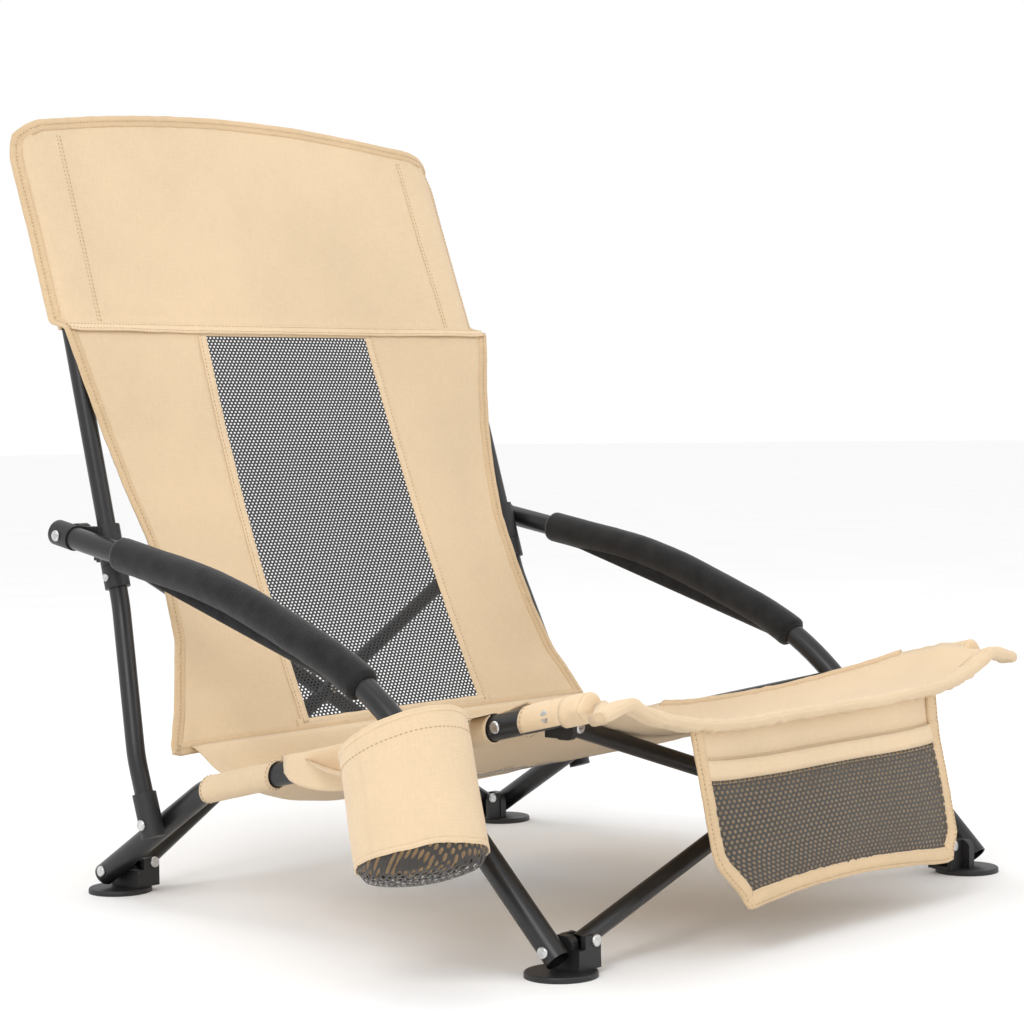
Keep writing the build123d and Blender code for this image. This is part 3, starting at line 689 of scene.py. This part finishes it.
for k, i in enumerate((net_from, net_to)):
    p, nn = S[i, first_net:last_net + 1], SN[i, first_net:last_net + 1]
    seat_parts.append(tape(f"seat_facing_cross_{k}", p, nn, 11.0, 2.4, CANVAS, seed=36.0 + k))


SLEEVE_R = 12.7


def fin_shape(a):
    """1 at the rail's outer edge, falling away round it."""
    return math.exp(-((a + 0.1) / 0.42) ** 2)


def rail_sleeve(name, side, y0, y1, open_inner=False, fin=0.0):
    """Hem of the seat round a rail. fin is how far its outer edge stands out at y1."""
    n = max(6, int(abs(y1 - y0) / 4.0))
    angles = np.radians(np.linspace(-48, 225, 40) if open_inner else np.linspace(-180, 180, 49))
    G = []
    for i in range(n + 1):
        t = i / n
        y = y0 + (y1 - y0) * t
        row = []
        for a in angles:
            r = SLEEVE_R + 0.35 * wob(a * 2.0, y / 12.0, 40.0 + side)
            r2 = r + fin * t ** 2.2 * fin_shape(a)
            row.append((side * (RAIL_X + r2 * math.cos(a)), y, rail_z(y) + r * math.sin(a)))
        G.append(row)
    return grid(name, G, CANVAS, 0.9)


def rail_end(name, side, y, fin):
    """Closed cloth over the rail's tip."""
    rows = []
    for t in np.linspace(0.0, 1.0, 9):
        grow = math.cos(t * math.pi / 2)
        row = []
        for a in np.radians(np.linspace(-180, 180, 49)):
            r = SLEEVE_R * grow + 0.2 * wob(a * 2.0, t * 3.0, 44.0 + side)
            r2 = r + fin * grow * fin_shape(a)
            x = side * (RAIL_X + r2 * math.cos(a))
            row.append((x, y - 6.0 * math.sin(t * math.pi / 2), rail_z(y) + r * math.sin(a)))
        rows.append(row)
    return grid(name, rows, CANVAS, 0.9)


rail_sheets = []
for side in (-1, 1):
    tag = side_name(side)
    pieces = [
        rail_sleeve(f"rail_sleeve_rear_{tag}", side, 156.0, 60.0),
        rail_sleeve(f"rail_sleeve_hub_{tag}", side, -249.0, -294.0, open_inner=True),
        rail_sleeve(f"rail_sleeve_front_{tag}", side, -294.0, -318.0, fin=4.0),
        rail_end(f"rail_sleeve_end_{tag}", side, -318.0, 4.0),
    ]
    flats = ((0.097, 0.080), (0.045, 0.061), (0.024, 0.082), (0.080, 0.012))
    rail_sheets += [(ob, flat, f"seat_rail_{tag}") for ob, flat in zip(pieces, flats)]
    for y in (153.5, 63.0, -252.0):
        nn = [(math.cos(a), 0, math.sin(a)) for a in circle(39)]
        ring = [(side * RAIL_X + 13.4 * c, y, rail_z(y) + 13.4 * d) for c, _, d in nn]
        name = f"rail_sleeve_stitch_{int(y) + 400}_{tag}"
        pieces.append(stitches(name, ring, nn, THREAD, closed=True, lift=0.2))
    for ob in pieces:
        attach(ob, f"rail_{tag}")
    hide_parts(f"rail_sleeves_{tag}")
for ob in seat_parts:
    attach(ob, "rail_right")
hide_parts("seat_panel")

# ---------------------------------------------------------------- front pocket
def pocket_pt(u, v, out=0.0):
    """u from 0 at the sitter's right to 1, v from 0 at the top to 1 at the bottom."""
    cut = 26.0 * smooth((v - 0.72) / 0.28)
    x0 = -188.0 + 8.0 * v + cut
    x1 = 168.0 - 2.0 * v - 12.0 * smooth((v - 0.86) / 0.14)
    x = x0 + (x1 - x0) * u
    top = rail_z(SEAT_FRONT_Y) + seat_profile(x / SEAT_HALF) - 1.0
    low = 48.0 + 9.0 * math.sin(math.pi * min(1.0, u * 1.05)) - 2.0 * u
    z = top + (low - top) * v
    y = -347.5 - 28.0 * v ** 1.3 - out + 2.0 * wob(x / 60.0, z / 60.0, 50.0)
    return (x, y, z)


BAND_TOP = 0.22


def pocket_bulge(u, v):
    """How far the pocket's front stands off its back, mm."""
    down = min(1.0, (v - BAND_TOP) / (1 - BAND_TOP) * 0.9 + 0.1)
    return 9.0 * math.sin(math.pi * down) * math.sin(math.pi * u) ** 0.6 + 2.2


us, vs = np.linspace(0, 1, 44), np.linspace(0, 1, 24)
PB = np.array([[pocket_pt(u, v) for u in us] for v in vs])
vf = np.linspace(BAND_TOP, 1, 22)
PF = np.array([[pocket_pt(u, v, pocket_bulge(u, v)) for u in us] for v in vf])
PBN, PFN = normals_of(PB), normals_of(PF)
if PFN[8, 20][1] > 0:
    PFN = -PFN
if PBN[8, 20][1] > 0:
    PBN = -PBN
pocket_back = grid("pocket_back", PB, CANVAS, 0.9)
band_rows = 3
pocket_net = grid("pocket_net", PF, NET_FINE, 0.0, keep=lambda i, j: i >= band_rows)
pocket_band = grid("pocket_band", PF, CANVAS, 1.2, keep=lambda i, j: i < band_rows)
edge = [(i, 0) for i in range(len(vs))] + [(len(vs) - 1, j) for j in range(1, len(us))]
edge += [(i, len(us) - 1) for i in range(len(vs) - 2, -1, -1)]
ep = np.array([PB[i, j] for i, j in edge]) + np.array([0, -1.6, 0])
en = np.array([PBN[i, j] for i, j in edge])
pocket_parts = [
    pocket_back, pocket_net, pocket_band,
    tape("pocket_binding", ep, en, 15.0, 4.4, BINDING, seed=60.0),
    stitches("pocket_binding_stitch", ep, en, THREAD, shift=4.5, lift=2.4),
    stitches("pocket_band_stitch_0", PF[0], PFN[0], THREAD, shift=-2.5, lift=1.0),
    stitches("pocket_band_stitch_1", PF[band_rows], PFN[band_rows], THREAD, shift=2.5, lift=1.0),
]
for ob in pocket_parts:
    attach(ob, "rail_right")
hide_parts("front_pocket")

# ---------------------------------------------------------------- cup holder
CUP_AXIS = np.array([0.123, 0.317, 1.0])
CUP_AXIS /= np.linalg.norm(CUP_AXIS)
CUP_SIDE = np.cross(CUP_AXIS, [1.0, 0.0, 0.0])
CUP_SIDE /= np.linalg.norm(CUP_SIDE)
CUP_OUT = np.cross(CUP_AXIS, CUP_SIDE)
CUP_BASE = np.array([-417.0, -250.0, 100.0])
CUP_R, CUP_TAPER, CUP_H = 54.5, 0.012, 106.0
RIM_DROP = 13.0
YOKE_X = -347.0


def cup_pt(a, h, grow=0.0):
    """Point on the cup's wall at angle a (0 is outboard) and height h."""
    r = CUP_R - CUP_TAPER * h + grow
    r *= 1 + 0.012 * math.cos(2 * a) + 0.012 * wob(math.cos(a) * 2, math.sin(a) * 2, h / 38.0)
    return CUP_BASE + CUP_OUT * r * math.cos(a) + CUP_SIDE * r * math.sin(a) + CUP_AXIS * h


cup_angles = circle(72)


def rim_h(a):
    return 7.0 + 5.0 * math.cos(a + 0.9) + 1.5 * wob(math.cos(a) * 4, math.sin(a) * 4, 71.0)


wall_rows = []
for t in np.linspace(0, 1, 22):
    wall_rows.append([cup_pt(a, rim_h(a) + t * (CUP_H - rim_h(a)) - RIM_DROP * math.sin(a) * t)
                      for a in cup_angles])
wall = np.array(wall_rows)
perim = 2 * math.pi * 55.5
uvw = np.stack(np.meshgrid(cup_angles / (2 * math.pi) * perim, np.linspace(0, 99, 22)), axis=2)
cup_wall = grid("cup_wall", wall, CANVAS, 1.1, uv=uvw, close=True)
base_rows = []
for t in np.linspace(0, 1, 14):
    row = []
    for a in cup_angles:
        top = rim_h(a) + 2.0
        if t < 0.5:
            q = t / 0.5
            p = cup_pt(a, top * (1 - q) - 6.0 * q, -1.5 - 7.0 * q * q)
        else:
            q = (t - 0.5) / 0.5
            ring = cup_pt(a, -6.0 - 7.0 * q, -8.5)
            mid = CUP_BASE - CUP_AXIS * 13.0
            p = ring + (mid - ring) * (q * 0.995)
        row.append(p)
    base_rows.append(row)
base = np.array(base_rows)
flat_uv = np.stack([base[:, :, 0], base[:, :, 1] + 0.6 * base[:, :, 2]], axis=2)
cup_net = grid("cup_net", base, NET_FINE, 0.0, uv=flat_uv, close=True)
radial = np.array([CUP_OUT * math.cos(a) + CUP_SIDE * math.sin(a) for a in cup_angles])
cup_hem = tape("cup_hem", wall[-1], radial, 5.0, 2.4, CANVAS, closed=True, seed=70.0)
cup_stitch = stitches("cup_hem_stitch", wall[-4], radial, THREAD, closed=True, lift=0.8)
cup_low = tape("cup_net_edge", wall[0], radial, 4.0, 1.8, CANVAS, closed=True, seed=72.0)
cup_parts = [cup_wall, cup_net, cup_hem, cup_stitch, cup_low]
# yoke: a strip of cloth beside the rail; the loops tie its two ends to the rail
flap = []
for t in np.linspace(0, 1, 30):
    y = -12.0 - 200.0 * t
    row = []
    for q in np.linspace(0, 1, 12):
        low = -30.0 * math.sin(math.pi * t) ** 0.5 if 0 < t < 1 else -2.0
        row.append((YOKE_X + 0.8 * wob(t * 6, q * 3, 80.0), y, rail_z(y) + 12.6 + (low - 12.6) * q))
    flap.append(row)
cup_yoke = grid("cup_yoke", flap, CANVAS, 1.0)
cup_parts.append(cup_yoke)
# gusset: from the yoke's lower edge to the inner half of the cup's rim
gusset = []
for t in np.linspace(0, 1, 34):
    y = -40.0 - 172.0 * t
    top = np.array([YOKE_X - 0.5, y, rail_z(y) + 6.0 - 24.0 * math.sin(math.pi * t)])
    a = math.pi * (0.42 + 0.67 * t)
    low = cup_pt(a, CUP_H - 5.0 - RIM_DROP * math.sin(a), 0.6)
    row = []
    for q in np.linspace(0, 1, 14):
        p = top + (low - top) * q
        p[2] -= 5.0 * math.sin(math.pi * q)
        p[0] = min(p[0], YOKE_X - 0.5)
        row.append(p)
    gusset.append(row)
cup_gusset = grid("cup_gusset", gusset, CANVAS, 1.0)
cup_parts.append(cup_gusset)
cup_loops = []
for k, (y0, y1) in enumerate(((-12.0, -32.0), (-190.0, -212.0))):
    G = []
    for y in np.linspace(y0, y1, 8):
        row = [(YOKE_X - 0.5, y, rail_z(y) + 10.0), (YOKE_X + 1.0, y, rail_z(y) + 12.8)]
        for x in np.linspace(-344, -RAIL_X, 9):
            row.append((x, y, rail_z(y) + 12.9 - 1.2 * math.sin(math.pi * (x + 344) / 56.0)))
        for a in np.linspace(0.1, 2 * math.pi - 0.45, 30):
            row.append((-RAIL_X + 12.6 * math.sin(a), y, rail_z(y) + 12.6 * math.cos(a)))
        G.append(row)
    cup_loops.append(grid(f"cup_loop_{k}", G, CANVAS, 1.0))
cup_parts += cup_loops
for ob in cup_parts:
    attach(ob, "rail_right")
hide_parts("cup_holder")

# ---------------------------------------------------------------- foam grips
def arm_path(side):
    """Centre line of the arm tube as part.py bends it: straight runs and tangent arcs."""
    b = np.array([side * ARM_X, -297.0, 22.0])
    v1 = np.array([side * ARM_X, -92.0, 230.0])
    v2 = np.array([side * ARM_X, 96.0, 306.0])
    e = np.array([side * 311.0, 333.0, 352.0])
    pts = [b, v1, v2, e]
    out = [b]
    for i, rad in ((1, 330.0), (2, 560.0)):
        d1 = (pts[i] - pts[i - 1]) / np.linalg.norm(pts[i] - pts[i - 1])
        d2 = (pts[i + 1] - pts[i]) / np.linalg.norm(pts[i + 1] - pts[i])
        half = math.acos(float(d1 @ d2)) / 2
        bis = (d2 - d1) / np.linalg.norm(d2 - d1)
        centre = pts[i] + bis * rad / math.cos(half)
        along = (d1 + d2) / np.linalg.norm(d1 + d2)
        for q in np.linspace(-1, 1, 40):
            turn = q * half
            out.append(centre + rad * (-bis * math.cos(turn) + along * math.sin(turn)))
    out.append(e)
    return np.array(out)


FOAM_R, FOAM_BORE_R = 16.6, 11.15
FOAM_FRONT_Y, FOAM_REAR_Y = -84.0, 248.0
for side in (-1, 1):
    tag = side_name(side)
    path = arm_path(side)
    d = np.concatenate([[0], np.cumsum(np.linalg.norm(np.diff(path, axis=0), axis=1))])
    fine = np.linspace(0, d[-1], 2000)
    P = np.stack([np.interp(fine, d, path[:, k]) for k in range(3)], axis=1)
    keep = (P[:, 1] > FOAM_FRONT_Y) & (P[:, 1] < FOAM_REAR_Y)
    P = P[keep]
    p, nn, s = resample(P, np.array([[0, 0, 1.0]] * len(P)), 2.5)
    _, sd, up = frames(p, nn)
    G, angles = [], circle(40)
    total = s[-1]
    for i in range(len(p)):
        edge_d = min(s[i], total - s[i])
        rr = FOAM_R - 3.0 * (1 - min(1.0, edge_d / 4.0)) ** 2.0
        row = []
        for a in angles:
            dent = 0.35 * wob(math.cos(a) * 1.3, math.sin(a) * 1.3, s[i] / 26.0)
            dent += 0.15 * wob(math.cos(a) * 4, math.sin(a) * 4, s[i] / 9.0)
            row.append(p[i] + (sd[i] * math.cos(a) + up[i] * math.sin(a)) * (rr + dent))
        G.append(row)
    first, end = [[p[i] + (sd[i] * math.cos(a) + up[i] * math.sin(a)) * FOAM_BORE_R for a in angles]
                  for i in (0, -1)]
    G = np.array([first, *G, end, first])
    ob = grid(f"foam_sleeve_{tag}", G, FOAM, 0.0, close=True)
    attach(ob, f"arm_{tag}")
    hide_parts(f"foam_grip_{tag}")

# ---------------------------------------------------------------- cloth pieces get their own mesh data
for ob in back_parts:
    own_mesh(ob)
for ob in seat_parts + pocket_parts:
    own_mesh(ob)

# ---------------------------------------------------------------- stage
def stage_floor():
    me = bpy.data.meshes.new("floor")
    half = 30.0
    corners = [(-half, -half, 0), (half, -half, 0), (half, half, 0), (-half, half, 0)]
    me.from_pydata(corners, [], [(0, 1, 2, 3)])
    ob = bpy.data.objects.new("floor", me)
    bpy.context.scene.collection.objects.link(ob)
    m, nt, bsdf = material("floor_paper")
    tc = node(nt, "ShaderNodeTexCoord")
    n = noise_node(nt, tc.outputs["Object"], 3.0, 2.0)
    nt.links.new(ramp(nt, n, [(0.3, (0.94,) * 3), (0.7, (0.96,) * 3)]), bsdf.inputs["Base Color"])
    bsdf.inputs["Roughness"].default_value = 0.9
    bsdf.inputs["Specular IOR Level"].default_value = 0.2
    me.materials.append(m)


stage_floor()
studio = bpy.data.worlds.new("studio")
studio.use_nodes = True
background = studio.node_tree.nodes["Background"]
background.inputs["Color"].default_value = (1.0, 1.0, 1.0, 1.0)
background.inputs["Strength"].default_value = 1.0
bpy.context.scene.world = studio
bpy.context.scene.view_settings.view_transform = "Standard"


def area_light(name, loc, target, size, power):
    li = bpy.data.lights.new(name, "AREA")
    li.shape = "DISK"
    li.size = size
    li.energy = power
    ob = bpy.data.objects.new(name, li)
    ob.location = loc
    ob.rotation_euler = (Vector(target) - Vector(loc)).to_track_quat("-Z", "Y").to_euler()
    bpy.context.scene.collection.objects.link(ob)


area_light("key", (-2.6, -1.2, 2.6), (0.0, 0.0, 0.3), 1.6, 34)
area_light("fill", (1.6, -2.8, 1.8), (0.0, 0.0, 0.3), 2.0, 8)
area_light("top", (0.3, 0.8, 3.2), (0.0, 0.1, 0.3), 2.0, 16)


CAMERA_PLACE = (-1906.7, -1705.0, 460.6)  # mm
CAMERA_TURN = (-47.77, 2.1, -1.0)  # azimuth, elevation and roll in degrees
CAMERA_LENS, CAMERA_SENSOR = 91.7, 36.0  # mm


def front_camera():
    az, el, roll = map(math.radians, CAMERA_TURN)
    back_v = Vector((math.sin(az) * math.cos(el), -math.cos(az) * math.cos(el), math.sin(el)))
    fwd = -back_v
    right = fwd.cross(Vector((0, 0, 1))).normalized()
    up = right.cross(fwd)
    c, s = math.cos(roll), math.sin(roll)
    r2, u2 = right * c + up * s, up * c - right * s
    cam = bpy.data.cameras.new("camera")
    cam.lens = CAMERA_LENS
    cam.sensor_width = CAMERA_SENSOR
    cam.clip_end = 50.0
    ob = bpy.data.objects.new("camera", cam)
    place = Matrix.Translation(Vector(world(CAMERA_PLACE)))
    ob.matrix_world = place @ Matrix((r2, u2, back_v)).transposed().to_4x4()
    bpy.context.scene.collection.objects.link(ob)
    bpy.context.scene.camera = ob


front_camera()
